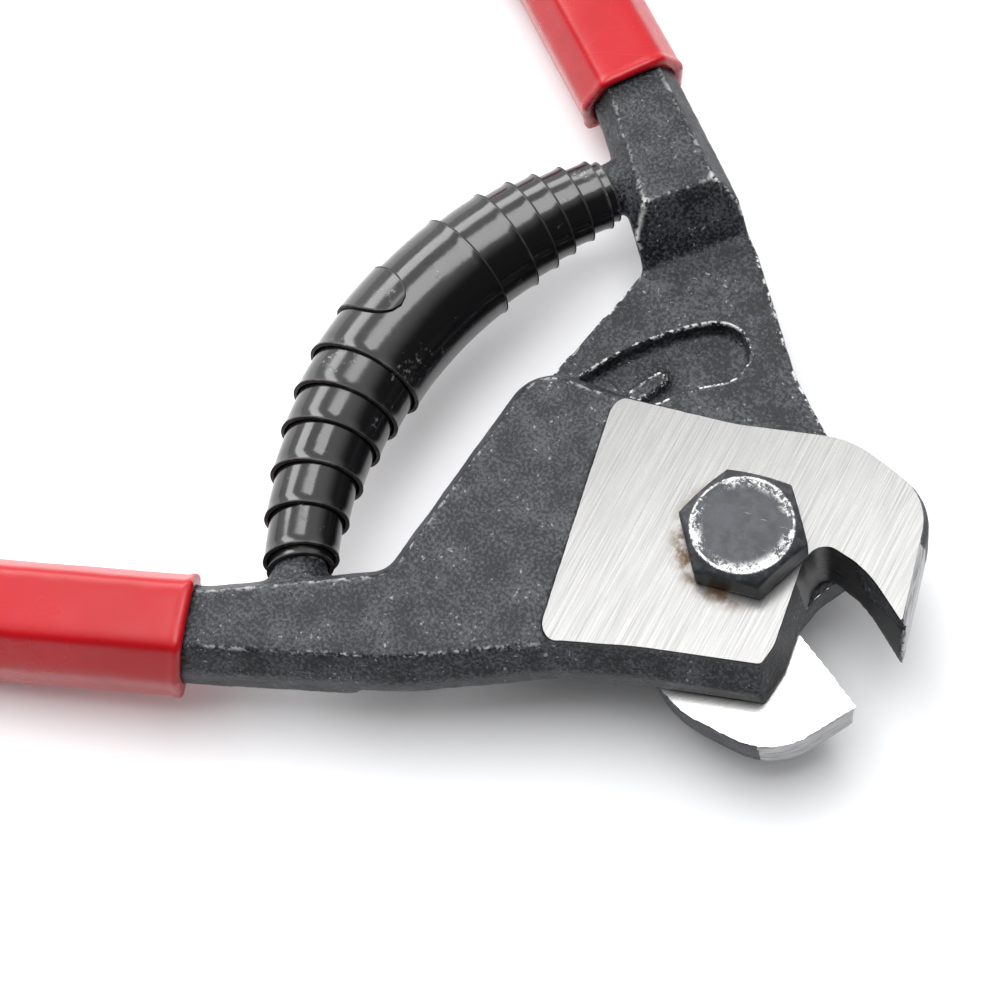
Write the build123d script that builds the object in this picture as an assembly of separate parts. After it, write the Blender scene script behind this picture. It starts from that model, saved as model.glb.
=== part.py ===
from build123d import *
import math
import os

# Hooked shear-type hand cutter, open at rest.  Millimetres, +Z up along the pivot bolt.
# Origin: centre of the bolt's lower end face.  +X runs from the pivot to the jaws,
# the front lever's handle is on the -Y side and the rear lever's handle on the +Y side.

# Heights above the bolt's end
shear_z = 15.2            # plane where the two plates slide on each other
rear_plate = 7.0          # thickness of the rear lever's plate
front_plate = 8.0         # forged thickness of the front lever's plate
pad_raise = 0.8           # ground pad that stands proud on the front plate
upper_flank = 4.0         # handle height above its parting line
lower_flank = 5.7         # handle height below its parting line

# Forged lever in plan
crown_draft = 2.3         # how far the parting line stands out beyond the top edge
hook_draft = 0.7          # same, around the hook, where it is ground away
rear_draft = 0.9          # same, for the rear plate below its flat face
lower_draft = 3           # degrees, walls below the parting line
step_draft = 34           # degrees, step from the rear plate up to its handle
pad_back = (-25.4, 7.35)  # back corner of the ground pad, on the plate's edge
pad_foot = (-13.5, -25.2) # other end of its straight border
pad_corner = 2.8          # rounding of those two corners
handle_width = 7.5        # flat top of the handle
handle_angle = 29.5       # degrees from -X at rest, out towards the tip
mouth = (-52.4, -48.0)    # centre of the handle where its grip begins
mouth_lean = 12           # degrees, the grip's mouth recedes towards its underside
straight_run = 26.0       # straight handle beyond the grip's mouth
bend_radius = 135.0       # handle's long inward bend
bend_angle = 28.0         # degrees turned by that bend
end_run = 7.0             # straight end beyond the bend
end_round = 2.6           # corners of the handle's end
plate_back = 36.2         # back edge of the plates, from the pivot
jaw_reach = 22.7          # hook tip, from the pivot
hook_rise = 18.7          # top of the hook, from the pivot

# Jaws
hook_throat_slope = 9     # degrees that the hook's throat leans back from its cutting edge
rear_throat_slope = 5     # same, for the straight cutting edge of the rear jaw
rear_edge_angle = -19.2   # degrees, straight cutting edge of the rear jaw

# Pivot
bolt_diameter = 9.5
flats_ratio = 1.505       # width across the flats over the bolt's diameter
head_height = 4.9
hex_turn = 18.7           # degrees
hex_chamfer = 30          # degrees
chamfer_reach = 0.895     # flat top's width over the width across the flats
end_chamfer = 0.8
seat_clearance = 0.03     # bolt in the rear lever, radial
running_clearance = 0.06  # bolt in the front lever, radial
thread_clearance = 0.05   # bolt in the nut, radial
nut_height = 5.0
collar_height = 1.7
insert_section = 1.1      # radial thickness of the nylon ring
insert_height = 2.0
collar_wall = 0.4         # steel around the nylon ring
collar_floor = 0.3        # steel under the nylon ring
collar_round = 0.7
pivot_gap = 0.02          # between the two plates

# Grips
coat = 1.6                # vinyl thickness on the handles

# Spring
spring_radius = 57.7      # spring's centreline, about the pivot
strip = 0.7               # thickness of the rolled strip
turn_step = 0.62          # each turn's radius is this much less than the one outside it
band_radius = 7.9         # outside of the widest turn
turn_overlap = 3.5        # degrees that each turn reaches under the one outside it
front_lips = [7.5, 12.7, 17.7, 23.4, 29.1, 34.6]   # degrees about the pivot, each turn's end
rear_lips = [13.8, 20.2, 24.2, 27.5, 30.9, 34.2]

# Spring stubs
stub_radius = 3.4
peg_radius = 2.3
peg_length = 5.0
stub_length = 4.6
stub_taper = 10           # degrees
stub_root = 2.5           # depth of the stub's foot inside the lever
peg_taper = 4             # degrees

# Curved pocket in the rear plate
pocket_radius = 31.1
pocket_width = 8.8
pocket_depth = 2.6
pocket_start = 133.3      # degrees about the pivot
pocket_sweep = 40
boss_angle = 152
boss_lean = 80            # degrees, the boss lies almost across the radius
boss_length = 6.6
boss_width = 2.4
boss_height = 1.4

# Worked out from the sizes above
rear_bottom = shear_z - rear_plate
front_bottom = shear_z + pivot_gap
forged_top = front_bottom + front_plate
pad_top = forged_top + pad_raise
parting_z = forged_top - upper_flank
handle_bottom = parting_z - lower_flank
crown_taper = math.degrees(math.atan(crown_draft / upper_flank))
bolt_radius = bolt_diameter / 2
across_flats = flats_ratio * bolt_diameter
nut_low = rear_bottom - nut_height
ring_low = nut_low - collar_height + collar_floor
ring_high = ring_low + insert_height
thread_radius = bolt_radius + thread_clearance
insert_radius = thread_radius + insert_section
collar_radius = insert_radius + collar_wall
spring_z = (forged_top + handle_bottom) / 2
far = 400.0


def turned(length, degrees):
    a = math.radians(degrees)
    return Vector(length * math.cos(a), length * math.sin(a))


def handle_line():
    """Mouth, bend corner and end of the handle's centreline."""
    tangent = bend_radius * math.tan(math.radians(bend_angle / 2))
    start = Vector(*mouth)
    corner = start + turned(straight_run + tangent, 180 + handle_angle)
    end = corner + turned(tangent + end_run, 180 + handle_angle - bend_angle)
    return start, corner, end


def handle_sides(half):
    """Inner and outer edges of a handle of this half width: corners and their radii."""
    start, corner, end = handle_line()
    first = turned(half, 90 + handle_angle)
    last = turned(half, 90 + handle_angle - bend_angle)
    slant = half / math.cos(math.radians(bend_angle / 2))
    middle = turned(slant, 90 + handle_angle - bend_angle / 2)
    inner = [
        (end + last, end_round),
        (corner + middle, bend_radius - half),
        (start + first, 30),
    ]
    outer = [
        (start - first, 30),
        (corner - middle, bend_radius + half),
        (end - last, end_round),
    ]
    return inner, outer


def outline_face(outline):
    corners = [tuple(p) for p, _ in outline]
    radii = [r for _, r in outline]
    return make_face(FilletPolyline(*corners, radius=radii, close=True).edges())


def crown_face():
    """Top face of the front lever, without its throat."""
    inner, outer = handle_sides(handle_width / 2)
    plate = [
        (Vector(-34.6, -28.6), 5),
        (Vector(-plate_back - 0.2, 5.0), 4.5),
        (Vector(-24.2, 7.6), 20),
        (Vector(-10.1, 12.4), 30),
        (Vector(3.2, hook_rise), 12),
        (Vector(15.6, hook_rise - 1.4), 7.5),
        (Vector(jaw_reach, -0.3), 1.0),
        (Vector(12.2, -11.6), 2.5),
        (Vector(-2.5, -18.7), 40),
        (Vector(-11.5, -23.9), 12),
        (Vector(-27.0, -36.9), 30),
    ]
    return outline_face(inner + plate + outer)


def grip_face():
    """Top face of the bare handle from a little before the grip's mouth to its end."""
    inner, outer = handle_sides(handle_width / 2)
    back = turned(12, handle_angle)
    inner[2] = (inner[2][0] + back, 0)
    outer[0] = (outer[0][0] + back, 0)
    return outline_face(inner + outer)


def level(face, spread, z):
    """The outline moved out by spread and up to z."""
    wider = offset(face, amount=spread, kind=Kind.ARC) if abs(spread) > 1e-6 else face
    return Pos(0, 0, z) * wider.faces()[0]


def drafted(face, start_z, end_z, start_spread, angle):
    """A prism from start_z to end_z that leans in by the angle, or out for a negative angle."""
    end_spread = start_spread - abs(end_z - start_z) * math.tan(math.radians(angle))
    sections = [level(face, start_spread, start_z), level(face, end_spread, end_z)]
    return loft(sections, ruled=True)


def half_plane(point, degrees):
    """A big square on the left of the line through point in the given direction."""
    square = Pos(0, far / 2) * Rectangle(2 * far, far)
    return Pos(*point) * Rot(0, 0, degrees) * square


def mirrored(shape):
    return mirror(shape, about=Plane.XZ)


def grip_side():
    """Everything on the grip's side of the front handle's leaning mouth."""
    lean = math.radians(mouth_lean)
    along = turned(math.cos(lean), 180 + handle_angle)
    face = Plane(origin=(*mouth, forged_top), z_dir=(along.X, along.Y, math.sin(lean)))
    return extrude(face * Rectangle(far, far), far)


def forged_bar(crown, coating, low_z):
    """A bar with flanks that lean in above and below its parting line."""
    spread = crown_draft + coating
    upper = drafted(crown, parting_z, forged_top + coating, spread, crown_taper)
    lower = drafted(crown, parting_z, low_z - coating, spread, lower_draft)
    return upper + lower


def stub():
    """Forged stub with its peg, on the front lever, pointing into the spring's end."""
    spot = turned(spring_radius, 180 + front_lips[-1])
    along = turned(1, 90 + front_lips[-1])
    tip = Plane(origin=(spot.X, spot.Y, spring_z), z_dir=(along.X, along.Y, 0))
    depth = stub_length + stub_root
    foot_radius = stub_radius + depth * math.tan(math.radians(stub_taper))
    shoulder = extrude(tip.offset(-depth) * Circle(foot_radius), depth, taper=stub_taper)
    return shoulder + extrude(tip * Circle(peg_radius), peg_length, taper=peg_taper)


def bore(radius, z_low, z_high):
    return Pos(0, 0, (z_low + z_high) / 2) * Cylinder(radius, z_high - z_low)


def front_throat():
    """Hooked throat and the open side of the jaw, as it is at the shear plane."""
    edge = [
        ((8.9, 1.6), 1.6),
        ((9.0, 4.0), 1.2),
        ((14.4, 3.9), 14),
        ((22.6, 0.0), 0.3),
        ((27.0, -3.0), 0.3),
        ((27.0, -16.0), 0.3),
        ((12.6, -16.0), 0.3),
        ((12.2, -9.0), 6),
    ]
    points = [p for p, _ in edge]
    return make_face(FilletPolyline(*points, radius=[r for _, r in edge], close=True).edges())


def pad_face():
    """Top of the ground pad: the plate in front of a straight border with rounded corners."""
    border = [(pad_back, pad_corner), (pad_foot, pad_corner)]
    return crown_face() & outline_face(border + [((0, -19), 0), ((40, -19), 0), ((40, 38), 0)])


def hook_grinding():
    """Metal ground away around the outside of the hook."""
    outside = half_plane((0, 10), -60) - level(crown_face(), hook_draft, 0)
    return Pos(0, 0, front_bottom - 1) * extrude(outside, front_plate + 1)


def rear_throat():
    """Straight cutting edge and open side of the rear jaw, as it is at the shear plane."""
    root = turned(10.0, rear_edge_angle)
    tip = turned(27.0, rear_edge_angle)
    edge = [
        (tuple(root), 1.0),
        (tuple(tip), 0.3),
        ((27.0, 20.0), 0.3),
        ((12.4, 20.0), 0.3),
        ((12.0, 9.0), 6),
        ((9.6, 2.0), 6),
    ]
    points = [p[:2] for p, _ in edge]
    return make_face(FilletPolyline(*points, radius=[r for _, r in edge], close=True).edges())


def front_lever():
    blank = forged_bar(crown_face(), 0, handle_bottom)
    blank += Pos(0, 0, forged_top) * extrude(pad_face(), pad_raise)
    under = drafted(half_plane((-31.0, -41.0), -52), front_bottom, handle_bottom - 1, 0, -step_draft)
    throat = drafted(front_throat(), front_bottom - 0.1, pad_top + 0.1, 0, -hook_throat_slope)
    blank = blank - under - throat - hook_grinding()
    hole = bore(bolt_radius + running_clearance, front_bottom - 1, pad_top + 1)
    return blank + (stub() - blank) - hole


def rear_plate_solid():
    return drafted(crown_face(), shear_z, rear_bottom, rear_draft, lower_draft)


def pocket():
    path = CenterArc((0, 0), pocket_radius, pocket_start, pocket_sweep)
    slot = SlotArc(path, pocket_width)
    hollow = Pos(0, 0, shear_z - pocket_depth) * extrude(slot, pocket_depth + 1)
    spot = turned(pocket_radius - 1.2, boss_angle)
    boss = Rot(0, 0, boss_angle - boss_lean) * SlotOverall(boss_length, boss_width)
    boss = Pos(spot.X, spot.Y, shear_z - pocket_depth) * boss
    return hollow - extrude(boss, boss_height)


def rear_lever():
    handle = forged_bar(crown_face(), 0, rear_bottom)
    step = drafted(half_plane((-35.8, -28.6), -56), shear_z, forged_top + 1, 0, -step_draft)
    under = drafted(half_plane((-44.5, -35.5), 128), handle_bottom, rear_bottom - 1, 0, -step_draft)
    body = mirrored(handle - step + rear_plate_solid() - under)
    throat = drafted(rear_throat(), shear_z + 0.1, rear_bottom - 0.1, 0, -rear_throat_slope)
    body = body - throat - pocket()
    hole = bore(bolt_radius + seat_clearance, rear_bottom - 1, shear_z + 1)
    return body + (mirrored(stub()) - body) - hole


def grip():
    outer = forged_bar(grip_face(), coat, handle_bottom) & grip_side()
    return outer - forged_bar(crown_face(), 0, handle_bottom)


def hexagon():
    return Rot(0, 0, hex_turn) * RegularPolygon(across_flats / 2, 6, major_radius=False)


def cone_trim(z_low, z_high, both_ends):
    """Turned cone that takes the corners off a hexagon standing from z_low to z_high."""
    reach = across_flats / 2 * chamfer_reach
    wide = across_flats / 2 * 1.25
    rise = (wide - reach) * math.tan(math.radians(hex_chamfer))
    profile = [(0, z_low), (wide, z_low), (wide, z_high - rise), (reach, z_high), (0, z_high)]
    if both_ends:
        profile = [(0, z_low), (reach, z_low), (wide, z_low + rise)] + profile[2:]
    return revolve(Plane.XZ * make_face(Polyline(*profile, close=True).edges()), Axis.Z)


def pivot_bolt():
    head = Pos(0, 0, pad_top) * extrude(hexagon(), head_height)
    head &= cone_trim(pad_top, pad_top + head_height, False)
    shank = Pos(0, 0, pad_top / 2) * Cylinder(bolt_radius, pad_top)
    shank = chamfer(shank.edges().group_by(Axis.Z)[0], end_chamfer)
    return head + shank


def nut_blank():
    body = Pos(0, 0, nut_low) * extrude(hexagon(), nut_height)
    body &= cone_trim(nut_low, rear_bottom, True)
    collar = bore(collar_radius, nut_low - collar_height, nut_low)
    return body + fillet(collar.edges().group_by(Axis.Z)[0], collar_round)


def locking_ring():
    return bore(insert_radius, ring_low, ring_high) - bore(thread_radius, -far, far)


def pivot_nut():
    hollow = bore(thread_radius, -far, far) + bore(insert_radius, ring_low, ring_high)
    return nut_blank() - hollow


def tube_arc(radius, first, last):
    """Piece of the spring's tube between two angles about its bend, from -X towards -Y."""
    ring = Circle(radius) - Circle(radius - strip)
    section = Plane(origin=(-spring_radius, 0, 0), z_dir=(0, -1, 0)) * ring
    arc = revolve(section, Axis.Z, revolution_arc=last - first)
    return Pos(0, 0, spring_z) * Rot(0, 0, first) * arc


def volute_spring():
    spring = tube_arc(band_radius, -rear_lips[0], front_lips[0])
    for lips, side in ((front_lips, 1), (rear_lips, -1)):
        for turn in range(1, len(lips)):
            radius = band_radius - turn * turn_step
            inner, outer = lips[turn - 1] - turn_overlap, lips[turn]
            first, last = sorted((side * inner, side * outer))
            spring += tube_arc(radius, first, last)
    return spring


def write(nodes):
    os.makedirs("parts", exist_ok=True)
    for name, shape in nodes.items():
        export_step(shape, f"parts/{name}.step")


front_grip = grip()
write({
    "front_lever": front_lever(),
    "rear_lever": rear_lever(),
    "front_grip": front_grip,
    "rear_grip": mirrored(front_grip),
    "pivot_bolt": pivot_bolt(),
    "pivot_nut": pivot_nut(),
    "locking_ring": locking_ring(),
    "volute_spring": volute_spring(),
})
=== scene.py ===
import math

import bmesh
import bpy
from bpy.props import FloatProperty, FloatVectorProperty, IntProperty, PointerProperty
from mathutils import Matrix, Vector, noise
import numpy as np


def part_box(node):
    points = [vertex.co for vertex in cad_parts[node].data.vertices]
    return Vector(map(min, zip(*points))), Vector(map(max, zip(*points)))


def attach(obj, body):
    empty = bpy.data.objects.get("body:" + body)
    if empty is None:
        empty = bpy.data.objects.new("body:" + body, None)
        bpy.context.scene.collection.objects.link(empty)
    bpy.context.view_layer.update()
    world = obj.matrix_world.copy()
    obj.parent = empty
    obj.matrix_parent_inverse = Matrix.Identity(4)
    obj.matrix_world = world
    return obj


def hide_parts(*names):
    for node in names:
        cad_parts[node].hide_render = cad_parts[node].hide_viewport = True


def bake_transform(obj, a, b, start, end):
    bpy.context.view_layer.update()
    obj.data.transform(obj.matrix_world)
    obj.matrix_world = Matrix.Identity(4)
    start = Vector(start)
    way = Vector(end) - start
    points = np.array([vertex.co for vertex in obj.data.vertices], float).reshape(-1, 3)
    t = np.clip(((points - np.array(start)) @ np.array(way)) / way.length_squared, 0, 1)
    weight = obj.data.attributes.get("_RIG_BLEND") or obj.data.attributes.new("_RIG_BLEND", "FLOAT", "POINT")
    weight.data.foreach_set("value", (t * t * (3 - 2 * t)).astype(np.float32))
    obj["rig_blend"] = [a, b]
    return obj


bl_info = {
    "name": "Hooked Cable Cutter",
    "version": (1, 0, 0),
    "blender": (4, 5, 0),
    "location": "View3D > Sidebar > Cutter",
    "description": "Builds the finish of a hooked cable cutter around its frame",
    "category": "Object",
}

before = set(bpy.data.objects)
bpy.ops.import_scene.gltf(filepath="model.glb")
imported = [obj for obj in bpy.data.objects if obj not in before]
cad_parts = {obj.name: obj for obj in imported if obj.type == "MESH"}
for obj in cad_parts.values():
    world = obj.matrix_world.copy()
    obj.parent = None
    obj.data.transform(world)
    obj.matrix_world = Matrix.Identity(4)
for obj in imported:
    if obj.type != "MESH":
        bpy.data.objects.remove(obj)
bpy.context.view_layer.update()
MM = 0.001

# Heights and sizes read from the frame
PAD_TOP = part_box("front_lever")[1].z
HEAD_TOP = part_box("pivot_bolt")[1].z
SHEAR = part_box("pivot_bolt")[0].z + 15.2 * MM       # where the two plates rub
SPRING_LOW, SPRING_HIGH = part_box("volute_spring")
SPRING_Z = (SPRING_LOW.z + SPRING_HIGH.z) / 2
BAND_RADIUS = (SPRING_HIGH.z - SPRING_LOW.z) / 2

# Places on the levers, in millimetres from the pivot
HOOK_CENTRE = (8, 0)
JAW_CENTRE = (18, -18)
HOOK_THROAT = (8.5, 6.5), (23.4, 1.0)       # line that the hook's inner wall lies under
HOOK_BEVEL = (15.6, 17.3), (23.9, -1.0)     # line that the hook's outer bevel lies beyond
JAW_GRIND = (-20, -20), (20, 14)            # line that the rear jaw's ground face ends at
GRIND_DEPTH = 0.14 * MM                     # of the rear jaw's ground face
PLATE_REACH = 45 * MM                       # how far out the two plates meet
LEFT_OUT = 1.0                              # a height that no piece reaches

# Mouths of the two grips
MOUTH = (-52.4, 48.0, 23.2)                 # millimetres, Y is minus on the front grip
HANDLE_ANGLE = math.radians(29.5)
MOUTH_LEAN = math.radians(12)
BEAD_DEPTH, BEAD_WIDTH = 0.75, 0.55         # millimetres along the grip

# Bends and lips of the spring, its lips in degrees about the pivot
COIL_RADIUS = 57.7 * MM
FRONT_LIPS = [7.5, 12.7, 17.7, 23.4, 29.1, 34.6]
REAR_LIPS = [13.8, 20.2, 24.2, 27.5, 30.9, 34.2]
COLLAR = 1.3                                # how far the last turn stands past its lip
ROUND_CELLS = 72                            # cells round a turn
CELL_LENGTH = 0.45 * MM                     # cell along a turn
LIP_HEIGHT, LIP_WIDTH = 0.16 * MM, 0.8      # the width in millimetres
TONGUE_START, TONGUE_TIP = math.radians(-75), math.radians(101)
TONGUE_HALF_WIDTH = math.radians(3.3)

# Finish of the bolt head, from the bolt's axis
RING_RADIUS = 6.2 * MM                      # where the top meets the chamfer
GREASE_SIDE = math.radians(128)             # side of the head that the old grease lies on

# Stage
FLOOR_TILT = math.atan(0.0838)              # the cutter rests on its bolt and its grips
FLOOR_SHIFT = (-3.95 * MM, 0, -0.05 * MM)
SKY_FACING = (-0.46, 0.46, 0.76)
LIGHT_TARGET = Vector((-0.01, 0, 0.012))
CAMERA_PLACE = Vector((76.0, -82.58, 287.44)) * MM
CAMERA_RIGHT = Vector((0.7820, 0.6047, -0.1509))
CAMERA_UP = Vector((-0.5096, 0.7597, 0.4040))


# ---------------------------------------------------------------- settings

class CutterForging(bpy.types.PropertyGroup):
    """Surface of the two forged levers."""
    skin: FloatProperty(
        name="Skin size", description="Edge of the small squares of the forged skin",
        default=0.4 * MM, unit="LENGTH")
    rounding: IntProperty(
        name="Rounding", description="How many times the forged edges are softened", default=5)
    waves: FloatProperty(
        name="Waves", description="Height of the forging's slow unevenness",
        default=0.09 * MM, unit="LENGTH")
    scale_colour: FloatVectorProperty(
        name="Black scale", description="Colour of the forged surface",
        subtype="COLOR", size=4, default=(0.006, 0.0065, 0.008, 1))
    dust_colour: FloatVectorProperty(
        name="Dust", description="Colour of the grey grain on the scale",
        subtype="COLOR", size=4, default=(0.062, 0.066, 0.075, 1))
    worn_colour: FloatVectorProperty(
        name="Worn edge", description="Bare metal where the scale has chipped",
        subtype="COLOR", size=4, default=(0.62, 0.62, 0.62, 1))
    steel_colour: FloatVectorProperty(
        name="Ground steel", description="Colour of the ground pad",
        subtype="COLOR", size=4, default=(0.212, 0.2115, 0.209, 1))


class CutterGrips(bpy.types.PropertyGroup):
    """Dipped vinyl grips."""
    skin: FloatProperty(
        name="Skin size", description="Edge of the small squares of the vinyl skin",
        default=0.5 * MM, unit="LENGTH")
    rounding: IntProperty(
        name="Rounding", description="How many times the vinyl is softened", default=14)
    lip: FloatProperty(
        name="Lip", description="Height of the bead round the mouth",
        default=0.35 * MM, unit="LENGTH")
    colour: FloatVectorProperty(
        name="Vinyl", description="Colour of the grips",
        subtype="COLOR", size=4, default=(0.44, 0.006, 0.012, 1))


class CutterFasteners(bpy.types.PropertyGroup):
    """Pivot bolt, nut and locking ring."""
    skin: FloatProperty(
        name="Skin size", description="Edge of the small squares of the bolt's skin",
        default=0.2 * MM, unit="LENGTH")
    oxide_colour: FloatVectorProperty(
        name="Black oxide", description="Colour of the bolt and the nut",
        subtype="COLOR", size=4, default=(0.018, 0.019, 0.022, 1))
    nylon_colour: FloatVectorProperty(
        name="Nylon", description="Colour of the locking ring",
        subtype="COLOR", size=4, default=(0.05, 0.11, 0.30, 1))


class CutterSpring(bpy.types.PropertyGroup):
    """Volute spring rolled from one strip."""
    strip: FloatProperty(
        name="Strip", description="Thickness of the strip", default=0.5 * MM, unit="LENGTH")
    step: FloatProperty(
        name="Step", description="How much smaller each turn is than the one outside it",
        default=0.62 * MM, unit="LENGTH")
    overlap: FloatProperty(
        name="Overlap", description="How far each turn reaches under the next",
        default=math.radians(3.5), subtype="ANGLE")
    tilt: FloatProperty(
        name="Lip tilt", description="Slant of each lip across the turn",
        default=math.radians(0.9), subtype="ANGLE")
    tongue_lift: FloatProperty(
        name="Tongue lift", description="How far the strip's free end stands off the band",
        default=0.42 * MM, unit="LENGTH")
    colour: FloatVectorProperty(
        name="Blued steel", description="Colour of the spring",
        subtype="COLOR", size=4, default=(0.005, 0.005, 0.0055, 1))


class CutterStage(bpy.types.PropertyGroup):
    """Floor, lights and camera."""
    floor_colour: FloatVectorProperty(
        name="Floor", description="Colour of the floor",
        subtype="COLOR", size=4, default=(0.93, 0.935, 0.95, 1))
    sky: FloatProperty(
        name="Sky", description="Strength of the surrounding light", default=1.35)
    key: FloatProperty(
        name="Key light", description="Power of the main softbox", default=5.8, unit="POWER")
    streak: FloatProperty(
        name="Streak light", description="Power of the low side softbox",
        default=1.8, unit="POWER")
    lens: FloatProperty(
        name="Lens", description="Focal length of the camera", default=82.8, unit="CAMERA")


# ---------------------------------------------------------------- making meshes

CUT_DISTANCE = 1e-7       # points this near a cutting plane count as on it

def merged_copy(node):
    """A bmesh of a frame node with its loose triangles joined."""
    bm = bmesh.new()
    bm.from_mesh(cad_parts[node].data)
    bmesh.ops.remove_doubles(bm, verts=bm.verts, dist=1e-6)
    return bm


def with_modifier(bm, kind, **settings):
    """The bmesh after one modifier."""
    mesh = bpy.data.meshes.new("work")
    bm.to_mesh(mesh)
    bm.free()
    worker = bpy.data.objects.new("work", mesh)
    bpy.context.scene.collection.objects.link(worker)
    modifier = worker.modifiers.new("work", kind)
    for key, value in settings.items():
        setattr(modifier, key, value)
    result = bmesh.new()
    result.from_object(worker, bpy.context.evaluated_depsgraph_get())
    bpy.data.objects.remove(worker)
    bpy.data.meshes.remove(mesh)
    return result


def soften(bm, times, verts=None):
    """Smooths the bmesh, or only some of its points, the given number of times."""
    for _ in range(times):
        bmesh.ops.smooth_vert(bm, verts=verts or bm.verts, factor=0.5,
                              use_axis_x=True, use_axis_y=True, use_axis_z=True)


def lay_wear(bm):
    """Writes how much each point stands out from its neighbours, for worn edges."""
    wear = bm.verts.layers.float.new("wear")
    bm.normal_update()
    for v in bm.verts:
        sharp = [v.normal.dot((v.co - e.other_vert(v).co).normalized()) for e in v.link_edges]
        v[wear] = max(0.0, sum(sharp) / max(1, len(sharp)))
    values = {}
    for v in bm.verts:
        around = sum(e.other_vert(v)[wear] for e in v.link_edges)
        values[v] = (v[wear] + around) / (1 + len(v.link_edges))
    for v, value in values.items():
        v[wear] = value


def ripple(bm, height, length, quiet):
    """Moves points along their normals for a slow unevenness, less where quiet nears 1."""
    bm.normal_update()
    moves = []
    for v in bm.verts:
        place = v.co / length
        lift = 0.7 * noise.noise(place) + 0.3 * noise.noise(place * 3.1 + Vector((5, 1, 7)))
        moves.append(v.normal * lift * height * (1 - quiet(v.co)))
    for v, move in zip(bm.verts, moves):
        v.co += move


def everything(bm):
    return bm.verts[:] + bm.edges[:] + bm.faces[:]


def cut_flat(bm, height):
    """Grinds everything above the height away and closes the face."""
    cut = bmesh.ops.bisect_plane(bm, geom=everything(bm), dist=CUT_DISTANCE, clear_outer=True,
                                 plane_co=(0, 0, height), plane_no=(0, 0, 1))
    rim = [e for e in cut["geom_cut"] if isinstance(e, bmesh.types.BMEdge)]
    for e in rim:
        e.smooth = False
    made = bmesh.ops.triangle_fill(bm, use_beauty=True, edges=rim, normal=(0, 0, 1))
    for f in made["geom"]:
        if isinstance(f, bmesh.types.BMFace):
            f.normal_update()
            if f.normal.z < 0:
                f.normal_flip()
            f.smooth = True


def finish_piece(name, bm, materials, body=None, replaces=(), split=None):
    """Turns the bmesh into a piece of the object. Edges sharper than split stay crisp."""
    for f in bm.faces:
        f.smooth = True
    if split:
        for e in bm.edges:
            if len(e.link_faces) == 2 and e.calc_face_angle(0) > split:
                e.smooth = False
    mesh = bpy.data.meshes.new(name)
    bm.to_mesh(mesh)
    bm.free()
    for material in materials:
        mesh.materials.append(material)
    piece = bpy.data.objects.new(name, mesh)
    bpy.context.scene.collection.objects.link(piece)
    if body:
        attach(piece, body)
    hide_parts(*replaces)
    return piece


# ---------------------------------------------------------------- materials

# Painted shade: near-black colour laid on the step wall round the raised pad, where shade falls
PAD_STEP_SHADE = (0.002, 0.002, 0.002, 1)
GREASE_ON_STEEL = (0.085, 0.055, 0.030, 1)
GREASE_ON_OXIDE = (0.13, 0.085, 0.045, 1)

class Paint:
    """A short way to write a material's nodes."""

    def __init__(self, name):
        self.material = bpy.data.materials.new(name)
        self.material.use_nodes = True
        self.tree = self.material.node_tree
        self.shader = self.tree.nodes["Principled BSDF"]
        self.place = self.add("ShaderNodeTexCoord").outputs["Object"]

    def add(self, kind, inputs=(), **settings):
        node = self.tree.nodes.new(kind)
        for key, value in settings.items():
            setattr(node, key, value)
        for key, value in dict(inputs).items():
            self.put(node.inputs[key], value)
        return node

    def put(self, socket, value):
        if isinstance(value, bpy.types.NodeSocket):
            self.tree.links.new(value, socket)
        else:
            socket.default_value = value

    def turned(self, angle=0.0, stretch=(1, 1, 1), move=(0, 0, 0)):
        """Object place, moved, turned about Z and then stretched."""
        spun = self.add("ShaderNodeMapping", {"Vector": self.place, "Location": move,
                                              "Rotation": (0, 0, angle)}).outputs[0]
        return self.add("ShaderNodeVectorMath", {0: spun, 1: stretch},
                        operation="MULTIPLY").outputs[0]

    def noise(self, scale, detail=3.0, rough=0.55, vector=None):
        return self.add("ShaderNodeTexNoise", {"Vector": vector or self.place, "Scale": scale,
                                               "Detail": detail, "Roughness": rough}).outputs["Fac"]

    def ramp(self, value, low, high, to_low=0.0, to_high=1.0, smooth=True):
        return self.add("ShaderNodeMapRange", {"Value": value, "From Min": low, "From Max": high,
                                               "To Min": to_low, "To Max": to_high},
                        interpolation_type="SMOOTHSTEP" if smooth else "LINEAR").outputs[0]

    def math(self, operation, a, b):
        return self.add("ShaderNodeMath", {0: a, 1: b}, operation=operation).outputs[0]

    def times(self, first, *others):
        for other in others:
            first = self.math("MULTIPLY", first, other)
        return first

    def most(self, first, *others):
        for other in others:
            first = self.math("MAXIMUM", first, other)
        return first

    def mix(self, factor, a, b):
        node = self.add("ShaderNodeMix", data_type="RGBA")
        self.put(node.inputs[0], factor)
        self.put(node.inputs[6], a)
        self.put(node.inputs[7], b)
        return node.outputs[2]

    def attribute(self, name):
        return self.add("ShaderNodeAttribute", attribute_name=name).outputs["Fac"]

    def axis(self, index, vector=None):
        return self.add("ShaderNodeSeparateXYZ", {0: vector or self.place}).outputs[index]

    def bump(self, *layers):
        """Stacks height layers, each (height, depth in metres)."""
        normal = None
        for height, depth in layers:
            node = self.add("ShaderNodeBump",
                            {"Height": height, "Strength": 1.0, "Distance": depth})
            if normal:
                self.put(node.inputs["Normal"], normal)
            normal = node.outputs[0]
        self.put(self.shader.inputs["Normal"], normal)

    def set(self, **sockets):
        """Fills the shader's sockets and returns the material."""
        for key, value in sockets.items():
            self.put(self.shader.inputs[key.replace("_", " ")], value)
        return self.material


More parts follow.
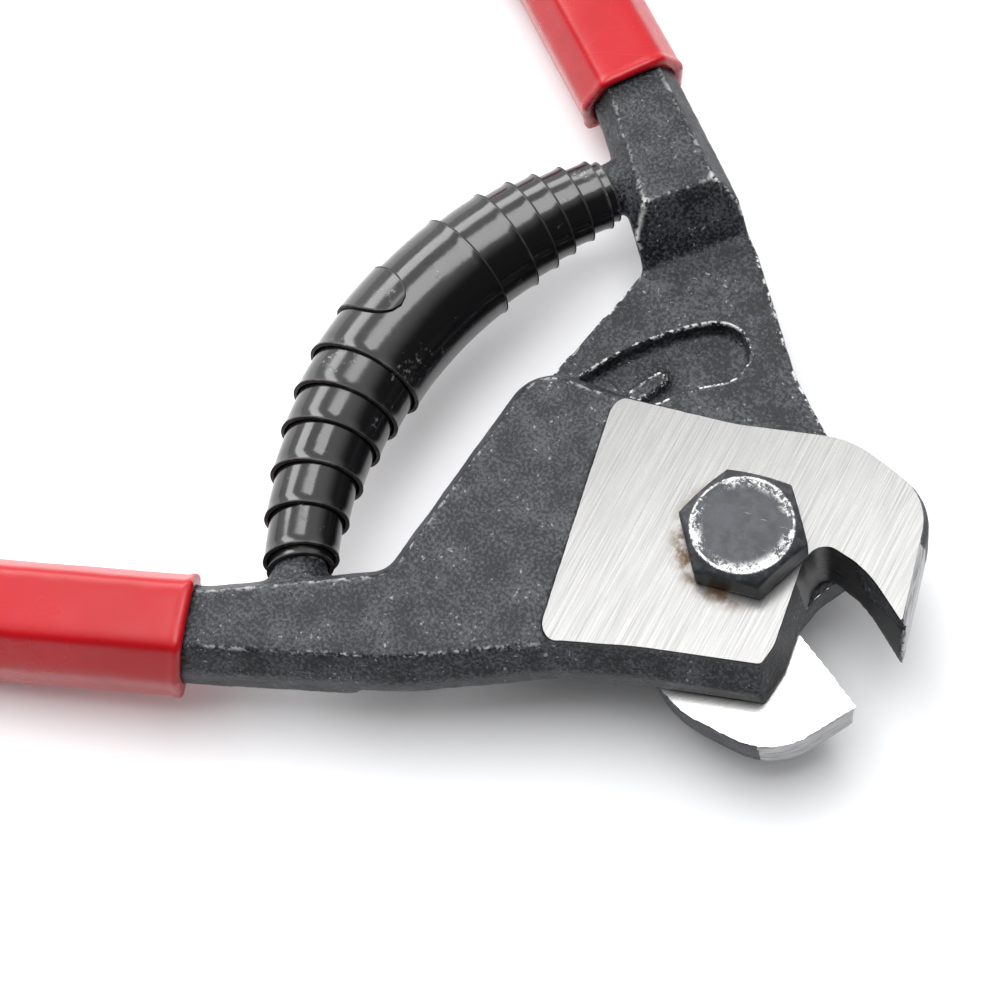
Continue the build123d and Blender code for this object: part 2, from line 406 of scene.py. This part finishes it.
def distance_from_axis(paint):
    """How far the surface is from the pivot's axis."""
    flat = paint.add("ShaderNodeVectorMath", {0: paint.place, 1: (1, 1, 0)},
                     operation="MULTIPLY").outputs[0]
    return paint.add("ShaderNodeVectorMath", {0: flat}, operation="LENGTH").outputs["Value"]


def grease_side(paint):
    """1 on the side of the bolt head that the old grease lies on."""
    return paint.ramp(paint.axis(0, paint.turned(GREASE_SIDE)), 0.5 * MM, 5 * MM)


def forged_finish():
    """Black forging scale with fine grain, pale specks, chipped edges and painted shade on the step wall
    round the pad.
    """
    s = bpy.context.scene.cutter_forging
    p = Paint("Forged Scale")
    grain = p.noise(2200, 4, 0.7)
    blotch = p.noise(220, 3)
    speck = p.noise(1500, 2, 0.6)
    both = p.math("ADD", p.times(grain, 0.75), p.times(blotch, 0.25))
    colour = p.mix(p.ramp(both, 0.44, 0.60), s.scale_colour, s.dust_colour)
    scattered = p.ramp(p.times(speck, p.ramp(blotch, 0.3, 0.65, 0.86, 1.04)), 0.66, 0.72)
    edge = p.ramp(p.attribute("wear"), 0.03, 0.13)
    broken = p.ramp(p.math("ADD", speck, p.times(p.noise(240, 3), 0.7)), 0.84, 0.94)
    bare = p.most(p.times(scattered, 0.32), p.times(edge, broken))
    colour = p.mix(bare, colour, s.worn_colour)
    # Painted shade: the forging just under the pad top, which is the pad's step wall, is turned near black
    rim = p.ramp(p.axis(2), PAD_TOP - 0.55 * MM, PAD_TOP - 0.30 * MM)
    colour = p.mix(rim, colour, PAD_STEP_SHADE)
    rough = p.ramp(grain, 0.3, 0.7, 0.42, 0.62, smooth=False)
    p.bump((blotch, 0.12 * MM), (p.noise(1150, 3, 0.6), 0.17 * MM), (grain, 0.06 * MM))
    return p.set(Base_Color=colour, Roughness=rough, Metallic=0.0, IOR=1.36)


def shaded(colour, share):
    """The colour, lighter or darker by the given share."""
    return tuple(channel * share for channel in colour[:3]) + (1,)


def ground_finish(name, angle, greasy, lit_share=1.0):
    """Bright ground steel with fine brush lines, and old grease round the bolt head if greasy. Painted
    light: the steel's colour is scaled by lit_share.
    """
    s = bpy.context.scene.cutter_forging
    p = Paint(name)
    # Painted light: lit_share scales the steel's colour, so a copy that sits in shade can be drawn lighter
    steel = shaded(s.steel_colour, lit_share)
    fine = p.noise(1, 3, 0.7, p.turned(angle, (110, 15000, 110)))
    broad = p.noise(1, 3, 0.6, p.turned(angle, (80, 3800, 80)))
    lines = p.math("ADD", p.times(fine, 0.6), p.times(broad, 0.4))
    shade = p.mix(p.ramp(lines, 0.36, 0.58), shaded(steel, 0.72), steel)
    shade = p.mix(p.ramp(p.noise(90, 3), 0.35, 0.75, 0.0, 0.3), shade, shaded(steel, 0.78))
    rough = p.ramp(lines, 0.3, 0.7, 0.36, 0.24, smooth=False)
    if greasy:
        near = p.ramp(distance_from_axis(p), 7.4 * MM, 10.2 * MM, 1.0, 0.0)
        stain = p.times(near, grease_side(p), p.ramp(p.noise(420, 4, 0.7), 0.36, 0.60))
        shade = p.mix(stain, shade, GREASE_ON_STEEL)
        rough = p.math("ADD", rough, p.times(stain, 0.2))
    p.bump((lines, 0.006 * MM))
    return p.set(Base_Color=shade, Roughness=rough, Metallic=1.0)


def wall_finish():
    """Grey steel of the bevels ground on the jaws' outer walls."""
    p = Paint("Ground Bevel")
    lines = p.noise(1, 3, 0.7, p.turned(0.4, (300, 300, 4200)))
    shade = p.mix(p.ramp(lines, 0.35, 0.65), (0.20, 0.20, 0.205, 1), (0.46, 0.46, 0.465, 1))
    rough = p.ramp(lines, 0.3, 0.7, 0.52, 0.36, smooth=False)
    p.bump((lines, 0.01 * MM))
    return p.set(Base_Color=shade, Roughness=rough, Metallic=1.0)


def throat_finish():
    """Smooth blackened wall behind a cutting edge."""
    p = Paint("Blackened Throat")
    lines = p.noise(1, 3, 0.65, p.turned(0.0, (400, 400, 2600)))
    colour = p.mix(p.ramp(lines, 0.40, 0.68), (0.010, 0.010, 0.011, 1), (0.045, 0.045, 0.047, 1))
    rough = p.ramp(lines, 0.3, 0.7, 0.26, 0.42, smooth=False)
    p.bump((lines, 0.012 * MM))
    return p.set(Base_Color=colour, Roughness=rough)


def ring_band(paint, out, rise, fall):
    """1 in a ring round the bolt's axis. Each pair holds millimetres past the ring's radius."""
    inner = paint.ramp(out, RING_RADIUS + rise[0] * MM, RING_RADIUS + rise[1] * MM)
    outer = paint.ramp(out, RING_RADIUS + fall[0] * MM, RING_RADIUS + fall[1] * MM, 1.0, 0.0)
    return paint.times(inner, outer)


def oxide_finish():
    """Black oxide with a scuffed top, a worn ring round the top and grease at the head's foot."""
    s = bpy.context.scene.cutter_fasteners
    p = Paint("Black Oxide")
    mottle = p.noise(700, 4, 0.65)
    colour = p.mix(p.ramp(mottle, 0.40, 0.68), s.oxide_colour, (0.050, 0.053, 0.060, 1))
    top = p.ramp(p.axis(2), HEAD_TOP - 0.12 * MM, HEAD_TOP - 0.02 * MM)
    out = distance_from_axis(p)
    scuff = p.times(top, p.ramp(out, 2 * MM, RING_RADIUS, 0.55, 0.30))
    scuff = p.times(scuff, p.ramp(p.noise(260, 3), 0.35, 0.62))
    colour = p.mix(scuff, colour, (0.05, 0.053, 0.064, 1))
    scratches = []
    for angle, low in ((0.5, 0.73), (1.9, 0.74), (2.7, 0.72)):
        place = p.turned(angle, (260, 5200, 260), (angle, 0, 0))
        scratches.append(p.ramp(p.noise(1, 2, 0.6, place), low, low + 0.06))
    scratches = p.times(p.most(*scratches), top, 0.45)
    thin = p.times(ring_band(p, out, (-0.12, 0.02), (0.14, 0.30)),
                   p.ramp(p.noise(420, 5, 0.85), 0.44, 0.56, 0.0, 0.9))
    patches = p.ramp(p.times(p.noise(2300, 4, 0.85), p.noise(190, 2)), 0.26, 0.31)
    wide = p.times(ring_band(p, out, (-1.6, 0.0), (0.2, 0.4)), patches)
    ring = p.times(p.most(thin, wide),
                   p.ramp(p.axis(2), HEAD_TOP - 0.6 * MM, HEAD_TOP - 0.3 * MM))
    edge = p.times(p.ramp(p.attribute("wear"), 0.10, 0.35), p.ramp(p.noise(900, 3), 0.55, 0.66))
    bare = p.most(scratches, ring, p.times(edge, 0.7))
    colour = p.mix(bare, colour, (0.66, 0.66, 0.66, 1))
    foot = p.times(p.ramp(p.axis(2), PAD_TOP + 0.4 * MM, PAD_TOP + 2.2 * MM, 1.0, 0.0),
                   p.ramp(p.axis(2), PAD_TOP - 1 * MM, PAD_TOP))
    grease = p.times(foot, grease_side(p), p.ramp(p.noise(520, 4, 0.7), 0.42, 0.60), 0.8)
    colour = p.mix(grease, colour, GREASE_ON_OXIDE)
    rough = p.ramp(mottle, 0.3, 0.7, 0.34, 0.52, smooth=False)
    p.bump((mottle, 0.02 * MM), (p.noise(2400, 2), 0.008 * MM))
    return p.set(Base_Color=colour, Roughness=rough, Metallic=0.35)


def vinyl_finish():
    """Glossy dipped vinyl with a very slight orange peel."""
    s = bpy.context.scene.cutter_grips
    p = Paint("Red Vinyl")
    cloud = p.noise(60, 3)
    deep = (s.colour[0] * 0.86, s.colour[1] * 0.7, s.colour[2] * 0.7, 1)
    colour = p.mix(p.ramp(cloud, 0.35, 0.7), s.colour, deep)
    scuff = p.noise(1, 3, 0.6, p.turned(math.radians(-29), (60, 1500, 400)))
    rough = p.math("ADD", p.ramp(cloud, 0.3, 0.7, 0.24, 0.31, smooth=False),
                   p.ramp(scuff, 0.62, 0.74, 0.0, 0.04))
    p.bump((p.noise(330, 2), 0.02 * MM), (p.noise(1700, 2), 0.003 * MM))
    p.shader.subsurface_method = "BURLEY"
    return p.set(Base_Color=colour, Roughness=rough, IOR=1.38, Subsurface_Weight=0.08,
                 Subsurface_Scale=0.6 * MM, Subsurface_Radius=(1.0, 0.2, 0.1))


def spring_finish():
    """Glossy black strip with scuffs and rubbed, duller lips."""
    s = bpy.context.scene.cutter_spring
    p = Paint("Blued Spring Steel")
    rub = p.ramp(p.noise(170, 5, 0.75), 0.57, 0.66)
    speck = p.ramp(p.noise(1500, 3, 0.7), 0.52, 0.64)
    colour = p.mix(p.times(rub, speck, 0.55), s.colour, (0.30, 0.31, 0.32, 1))
    worn = p.times(p.attribute("lip"), p.ramp(p.noise(300, 3), 0.50, 0.70, 0.0, 0.22))
    colour = p.mix(worn, colour, (0.30, 0.29, 0.27, 1))
    rough = p.ramp(p.noise(130, 4, 0.6), 0.3, 0.7, 0.09, 0.20, smooth=False)
    rough = p.math("ADD", rough, p.times(rub, 0.16))
    rough = p.most(rough, p.ramp(p.attribute("lip"), 0.25, 0.75, 0.0, 0.75))
    p.bump((p.noise(150, 3), 0.05 * MM), (p.noise(1400, 3), 0.004 * MM))
    return p.set(Base_Color=colour, Roughness=rough, IOR=1.58)


def nylon_finish():
    """Dull blue nylon."""
    s = bpy.context.scene.cutter_fasteners
    p = Paint("Blue Nylon")
    colour = p.mix(p.noise(900, 2), s.nylon_colour, (0.03, 0.08, 0.22, 1))
    p.bump((p.noise(1500, 2), 0.01 * MM))
    return p.set(Base_Color=colour, Roughness=0.45)


# ---------------------------------------------------------------- pieces

def in_jaw(co):
    """1 near the jaws, the bolt hole and the ground pad, 0 on the rest of a lever."""
    from_hook = away_from(co, HOOK_CENTRE)
    from_jaw = away_from(co, JAW_CENTRE)
    return min(1.0, max(0.0, (24 - from_hook) / 6, (16 - from_jaw) / 6))


def away_from(co, centre):
    """Distance in millimetres, seen from above."""
    return math.hypot(co.x / MM - centre[0], co.y / MM - centre[1])


def left_of(co, line):
    """More than 0 where the point is left of the line, which is given in millimetres."""
    (start_x, start_y), (end_x, end_y) = line
    return (end_x - start_x) * (co.y / MM - start_y) - (end_y - start_y) * (co.x / MM - start_x)


def part_plates(bm, gap):
    """Keeps the two plates' rubbing faces level and just apart."""
    bm.normal_update()
    for v in bm.verts:
        level = abs(v.co.z - SHEAR) < 0.3 * MM and abs(v.normal.z) > 0.4
        if level and math.hypot(v.co.x, v.co.y) < PLATE_REACH:
            v.co.z = SHEAR + gap if v.normal.z < 0 else SHEAR - gap


def forged_skin(node, lift_from=LEFT_OUT):
    """Softened and slightly wavy skin of a lever, sharp at the jaws. What is above lift_from is
    raised, so that it can be ground flat again with a crisp edge."""
    s = bpy.context.scene.cutter_forging
    bm = merged_copy(node)
    for v in bm.verts:
        if v.co.z > lift_from:
            v.co.z += 0.8 * MM
    bm = with_modifier(bm, "REMESH", mode="VOXEL", voxel_size=s.skin)
    soften(bm, s.rounding, [v for v in bm.verts if in_jaw(v.co) < 0.5])
    soften(bm, 2)
    ripple(bm, s.waves, 2.4 * MM, in_jaw)
    part_plates(bm, 0.02 * MM)
    lay_wear(bm)
    wear = bm.verts.layers.float["wear"]
    for v in bm.verts:
        v[wear] *= 1 - 0.8 * in_jaw(v.co)      # the ground zone is hardly chipped
    return bm


class CUTTER_OT_front_lever(bpy.types.Operator):
    """Builds the front lever: forging, ground pad and hooked jaw"""
    bl_idname = "cutter.front_lever"
    bl_label = "Front Lever"

    def execute(self, context):
        bm = forged_skin("front_lever", PAD_TOP - 0.05 * MM)
        cut_flat(bm, PAD_TOP)
        bm.normal_update()
        for f in bm.faces:
            co = f.calc_center_median()
            x, y = co.x / MM, co.y / MM
            upright = abs(f.normal.z) < 0.5
            if f.normal.z > 0.98 and co.z > PAD_TOP - 0.01 * MM:
                f.material_index = 1
            elif upright and x > 17.5 and y < 12 and left_of(co, HOOK_BEVEL) > -12:
                f.material_index = 2
            elif upright and x > 7.0 and y > -1 and left_of(co, HOOK_THROAT) < 0:
                f.material_index = 3
        pad = ground_finish("Ground Pad", math.radians(-99), greasy=True)
        finish_piece("front_lever_forging", bm,
                     [forged_finish(), pad, wall_finish(), throat_finish()],
                     "front_side", ["front_lever"])
        return {"FINISHED"}


class CUTTER_OT_rear_lever(bpy.types.Operator):
    """Builds the rear lever: forging, curved pocket and straight jaw"""
    bl_idname = "cutter.rear_lever"
    bl_label = "Rear Lever"

    def execute(self, context):
        bm = forged_skin("rear_lever")
        ground = SHEAR - GRIND_DEPTH
        bmesh.ops.bisect_plane(bm, geom=everything(bm), dist=CUT_DISTANCE,
                               plane_co=(0, 0, ground), plane_no=(0, 0, 1))
        (start_x, start_y), (end_x, end_y) = JAW_GRIND
        across = Vector((end_y - start_y, start_x - end_x, 0)).normalized()
        bmesh.ops.bisect_plane(bm, geom=everything(bm), dist=CUT_DISTANCE,
                               plane_co=(start_x * MM, start_y * MM, 0), plane_no=across)
        top = [f for f in bm.faces if f.calc_center_median().z > ground + 1e-6
               and left_of(f.calc_center_median(), JAW_GRIND) < 0]
        bmesh.ops.delete(bm, geom=top, context="FACES")
        rim = [e for e in bm.edges if len(e.link_faces) == 1]
        made = bmesh.ops.triangle_fill(bm, use_beauty=True, edges=rim, normal=(0, 0, 1))
        for e in rim:
            e.smooth = False
        bm.normal_update()
        for f in made["geom"]:
            if isinstance(f, bmesh.types.BMFace) and f.normal.z < 0:
                f.normal_flip()
        for f in bm.faces:
            co = f.calc_center_median()
            level = f.normal.z > 0.98 and abs(co.z - ground) < 0.02 * MM
            if level and left_of(co, JAW_GRIND) < 0:
                f.material_index = 1
            elif abs(f.normal.z) < 0.6 and co.x > 14.6 * MM and co.y < -6 * MM:
                f.material_index = 2
        # Painted light: the jaw's steel is drawn 2.5 times lighter than the pad's, standing in for the light
        # that the front plate shades off it
        jaw = ground_finish("Ground Jaw", math.radians(-60), greasy=False, lit_share=2.5)
        scale, bevel = bpy.data.materials["Forged Scale"], bpy.data.materials["Ground Bevel"]
        finish_piece("rear_lever_forging", bm, [scale, jaw, bevel],
                     "rear_side", ["rear_lever"])
        return {"FINISHED"}


class CUTTER_OT_grips(bpy.types.Operator):
    """Builds the two dipped vinyl grips"""
    bl_idname = "cutter.grips"
    bl_label = "Grips"

    def execute(self, context):
        s = context.scene.cutter_grips
        vinyl = vinyl_finish()
        for side, body in (("front", "front_side"), ("rear", "rear_side")):
            node = side + "_grip"
            bm = with_modifier(merged_copy(node), "REMESH", mode="VOXEL", voxel_size=s.skin)
            soften(bm, s.rounding)
            ripple(bm, 0.10 * MM, 9 * MM, lambda co: 0.0)
            self.roll_lip(bm, -1 if side == "front" else 1, s.lip)
            finish_piece(node + "_vinyl", bm, [vinyl], body, [node])
        return {"FINISHED"}

    def roll_lip(self, bm, side, height):
        """Raises a low bead round the mouth."""
        start = Vector((MOUTH[0], MOUTH[1] * side, MOUTH[2])) * MM
        flat = math.cos(MOUTH_LEAN)
        along = Vector((-math.cos(HANDLE_ANGLE) * flat, side * math.sin(HANDLE_ANGLE) * flat,
                        math.sin(MOUTH_LEAN)))
        bm.normal_update()
        moves = []
        for v in bm.verts:
            depth = (v.co - start).dot(along) / MM
            swell = math.exp(-((depth - BEAD_DEPTH) / BEAD_WIDTH) ** 2)
            moves.append(v.normal * height * swell * (0.8 + 0.4 * noise.noise(v.co / (6 * MM))))
        for v, move in zip(bm.verts, moves):
            v.co += move


class CUTTER_OT_fasteners(bpy.types.Operator):
    """Builds the pivot bolt, its nut and the nylon locking ring"""
    bl_idname = "cutter.fasteners"
    bl_label = "Fasteners"

    def execute(self, context):
        s = context.scene.cutter_fasteners
        oxide = oxide_finish()
        for node in ("pivot_bolt", "pivot_nut"):
            bm = with_modifier(merged_copy(node), "REMESH", mode="VOXEL", voxel_size=s.skin)
            soften(bm, 3)
            lay_wear(bm)
            finish_piece(node + "_oxide", bm, [oxide], "rear_side", [node])
        finish_piece("locking_ring_nylon", merged_copy("locking_ring"), [nylon_finish()],
                     "rear_side", ["locking_ring"], split=math.radians(35))
        return {"FINISHED"}


def ring_point(around, along, radius):
    """A point of the spring's tube: around its section, along its bend and out from its middle."""
    out = COIL_RADIUS + radius * math.cos(around)
    angle = math.pi + along
    return Vector((out * math.cos(angle), out * math.sin(angle),
                   SPRING_Z + radius * math.sin(around)))


def sheet_to_tube(outline, radius, strip, cells):
    """Bends a flat grid into a piece of strip. For two shares from 0 to 1, outline gives the
    angle around the tube, the angle along its bend, the lift and how near a lip is."""
    bm = bmesh.new()
    bmesh.ops.create_grid(bm, x_segments=cells[0], y_segments=cells[1], size=0.5)
    lip = bm.verts.layers.float.new("lip")
    for v in bm.verts:
        around, along, lift, v[lip] = outline(v.co.x + 0.5, v.co.y + 0.5)
        v.co = ring_point(around, along, radius + lift)
    bmesh.ops.remove_doubles(bm, verts=bm.verts, dist=1e-5)
    bmesh.ops.recalc_face_normals(bm, faces=bm.faces)
    outside = ring_point(0, 0, radius)
    face = min(bm.faces, key=lambda f: (f.calc_center_median() - outside).length)
    co = face.calc_center_median()
    centre = ring_point(0, math.atan2(co.y, co.x) - math.pi, 0)
    if face.normal.dot(co - centre) < 0:
        bmesh.ops.reverse_faces(bm, faces=bm.faces)
    return with_modifier(bm, "SOLIDIFY", thickness=strip, offset=-1.0)


def share_motion(piece, share):
    """Lets a turn follow the closing levers by its share, almost without bending. The blend runs
    over a metre, so one turn is all at one share, and its smooth step is undone by halving."""
    low, high = 0.0, 1.0
    for _ in range(40):
        middle = (low + high) / 2
        if middle * middle * (3 - 2 * middle) < share:
            low = middle
        else:
            high = middle
    start = Vector((-COIL_RADIUS, low, SPRING_Z))
    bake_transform(piece, "rear_side", "front_side", start=start, end=start + Vector((0, -1, 0)))


class CUTTER_OT_spring(bpy.types.Operator):
    """Builds the volute spring as telescoping turns with a free tongue"""
    bl_idname = "cutter.spring"
    bl_label = "Volute Spring"

    def execute(self, context):
        s = context.scene.cutter_spring
        finish = spring_finish()
        first, last = -math.radians(REAR_LIPS[0]), math.radians(FRONT_LIPS[0])
        middle = (first + last) / 2
        self.add_turn("spring_band", finish, 0, first, last, (0.0, 1.0), middle)
        for side, lips, sign in (("front", FRONT_LIPS, 1), ("rear", REAR_LIPS, -1)):
            ends = lips[1:] + [lips[-1] + COLLAR]
            for turn, (lip, end) in enumerate(zip(lips, ends), start=1):
                first = sign * (math.radians(lip) - s.overlap)
                last = sign * math.radians(end)
                self.add_turn(f"spring_turn_{side}_{turn}", finish, turn, first, last, (1.0,), last)
        self.add_tongue(finish, middle)
        return {"FINISHED"}

    def add_piece(self, name, finish, outline, radius, strip, cells, place):
        """A piece of the strip, which moves as the spring does at its place."""
        piece = finish_piece(name, sheet_to_tube(outline, radius, strip, cells), [finish],
                             replaces=["volute_spring"], split=math.radians(50))
        whole = math.radians(FRONT_LIPS[-1] + REAR_LIPS[-1])
        share = (place + math.radians(REAR_LIPS[-1])) / whole
        share_motion(piece, min(1.0, max(0.0, share)))

    def add_turn(self, name, finish, number, first, last, lips, place):
        """One turn of the strip, smaller by its number, with a raised lip at each share in lips."""
        s = bpy.context.scene.cutter_spring
        length = abs(last - first) * COIL_RADIUS

        def outline(u, w):
            around = 2 * math.pi * u
            slant = s.tilt * math.sin(around + 2.2)
            near = min(abs(w - lip) for lip in lips) * length / MM
            lift = LIP_HEIGHT * max(0.0, 1 - near / LIP_WIDTH)
            return around, first + (last - first) * w + slant, lift, 1 - min(1.0, near / 0.35)

        cells = (ROUND_CELLS, max(8, int(length / CELL_LENGTH)))
        self.add_piece(name, finish, outline, BAND_RADIUS - number * s.step, s.strip, cells, place)

    def add_tongue(self, finish, place):
        """The strip's rounded free end, lying on the widest turn."""
        s = bpy.context.scene.cutter_spring

        def outline(u, w):
            around = TONGUE_START + (TONGUE_TIP - TONGUE_START) * u
            rounding = max(0.0, 1 - (1 - u) / 0.24)
            half = TONGUE_HALF_WIDTH * math.sqrt(max(0.0, 1 - rounding ** 2.4)) + 1e-5
            along = math.radians(-0.7 - u) + half * (2 * w - 1)
            lift = s.tongue_lift * (0.35 + 0.65 * min(1.0, u / 0.5))
            side = max(0.0, 1 - (1 - abs(2 * w - 1)) * 6)
            return around, along, lift, max(side, rounding ** 6)

        self.add_piece("spring_tongue", finish, outline, BAND_RADIUS, s.strip * 0.8, (60, 24),
                       place)


class CUTTER_OT_stage(bpy.types.Operator):
    """Builds the pale floor, the soft lights and the camera"""
    bl_idname = "cutter.stage"
    bl_label = "Stage"

    def execute(self, context):
        s = context.scene.cutter_stage
        scene = context.scene
        bm = bmesh.new()
        bmesh.ops.create_grid(bm, x_segments=2, y_segments=2, size=3.0)
        bmesh.ops.rotate(bm, verts=bm.verts, cent=(0, 0, 0),
                         matrix=Matrix.Rotation(FLOOR_TILT, 3, "Y"))
        bmesh.ops.translate(bm, verts=bm.verts, vec=FLOOR_SHIFT)
        mesh = bpy.data.meshes.new("floor")
        bm.to_mesh(mesh)
        bm.free()
        paper = Paint("Paper Floor")
        mesh.materials.append(paper.set(Base_Color=s.floor_colour, Roughness=0.9))
        floor = bpy.data.objects.new("floor", mesh)
        scene.collection.objects.link(floor)

        world = bpy.data.worlds.new("Soft Room")
        world.use_nodes = True
        scene.world = world
        nodes, links = world.node_tree.nodes, world.node_tree.links
        place = nodes.new("ShaderNodeTexCoord")
        facing = nodes.new("ShaderNodeVectorMath")
        facing.operation = "DOT_PRODUCT"
        links.new(place.outputs["Generated"], facing.inputs[0])
        facing.inputs[1].default_value = SKY_FACING
        ramp = nodes.new("ShaderNodeMapRange")
        ramp.interpolation_type = "SMOOTHSTEP"
        links.new(facing.outputs["Value"], ramp.inputs["Value"])
        bounds = {"From Min": 0.15, "From Max": 0.7, "To Min": 0.05, "To Max": 1.0}
        for key, value in bounds.items():
            ramp.inputs[key].default_value = value
        links.new(ramp.outputs[0], nodes["Background"].inputs["Color"])
        nodes["Background"].inputs["Strength"].default_value = s.sky

        self.softbox("key", Vector((-0.09, 0.08, 0.99)), 0.90, (0.58, 0.58), s.key)
        self.softbox("streak", Vector((-0.77, 0.24, 0.57)), 0.60, (0.46, 0.20), s.streak)

        lens = bpy.data.cameras.new("camera")
        lens.lens, lens.sensor_width = s.lens, 36.0
        lens.clip_start, lens.clip_end = 0.01, 20
        camera = bpy.data.objects.new("camera", lens)
        scene.collection.objects.link(camera)
        back = CAMERA_RIGHT.cross(CAMERA_UP)
        turn = Matrix((CAMERA_RIGHT, CAMERA_UP, back)).transposed().to_4x4()
        camera.matrix_world = Matrix.Translation(CAMERA_PLACE) @ turn
        scene.camera = camera
        scene.view_settings.view_transform = "Standard"
        return {"FINISHED"}

    def softbox(self, name, direction, distance, size, power):
        """A soft light that the cutter sees in the given direction."""
        lamp = bpy.data.lights.new(name, "AREA")
        lamp.shape, lamp.energy = "RECTANGLE", power
        lamp.size, lamp.size_y = size
        box = bpy.data.objects.new(name, lamp)
        box.location = LIGHT_TARGET + direction.normalized() * distance
        box.rotation_euler = (-direction).to_track_quat("-Z", "Y").to_euler()
        box.visible_camera = False
        bpy.context.scene.collection.objects.link(box)


class CUTTER_PT_panel(bpy.types.Panel):
    """Lists the cutter's pieces"""
    bl_label = "Cable Cutter"
    bl_idname = "CUTTER_PT_panel"
    bl_space_type = "VIEW_3D"
    bl_region_type = "UI"
    bl_category = "Cutter"

    def draw(self, context):
        for operator in OPERATORS:
            self.layout.operator(operator.bl_idname)
        for group in GROUPS:
            settings = getattr(context.scene, group)
            box = self.layout.box()
            for key in settings.__annotations__:
                box.prop(settings, key)


OPERATORS = (CUTTER_OT_front_lever, CUTTER_OT_rear_lever, CUTTER_OT_grips, CUTTER_OT_fasteners,
             CUTTER_OT_spring, CUTTER_OT_stage)
GROUPS = {
    "cutter_forging": CutterForging,
    "cutter_grips": CutterGrips,
    "cutter_fasteners": CutterFasteners,
    "cutter_spring": CutterSpring,
    "cutter_stage": CutterStage,
}


def register():
    for group, settings in GROUPS.items():
        bpy.utils.register_class(settings)
        setattr(bpy.types.Scene, group, PointerProperty(type=settings))
    for operator in OPERATORS:
        bpy.utils.register_class(operator)
    bpy.utils.register_class(CUTTER_PT_panel)


def unregister():
    bpy.utils.unregister_class(CUTTER_PT_panel)
    for operator in reversed(OPERATORS):
        bpy.utils.unregister_class(operator)
    for group, settings in GROUPS.items():
        delattr(bpy.types.Scene, group)
        bpy.utils.unregister_class(settings)


def main():
    register()
    bpy.ops.cutter.front_lever()
    bpy.ops.cutter.rear_lever()
    bpy.ops.cutter.grips()
    bpy.ops.cutter.fasteners()
    bpy.ops.cutter.spring()
    bpy.ops.cutter.stage()


if __name__ == "__main__":
    main()
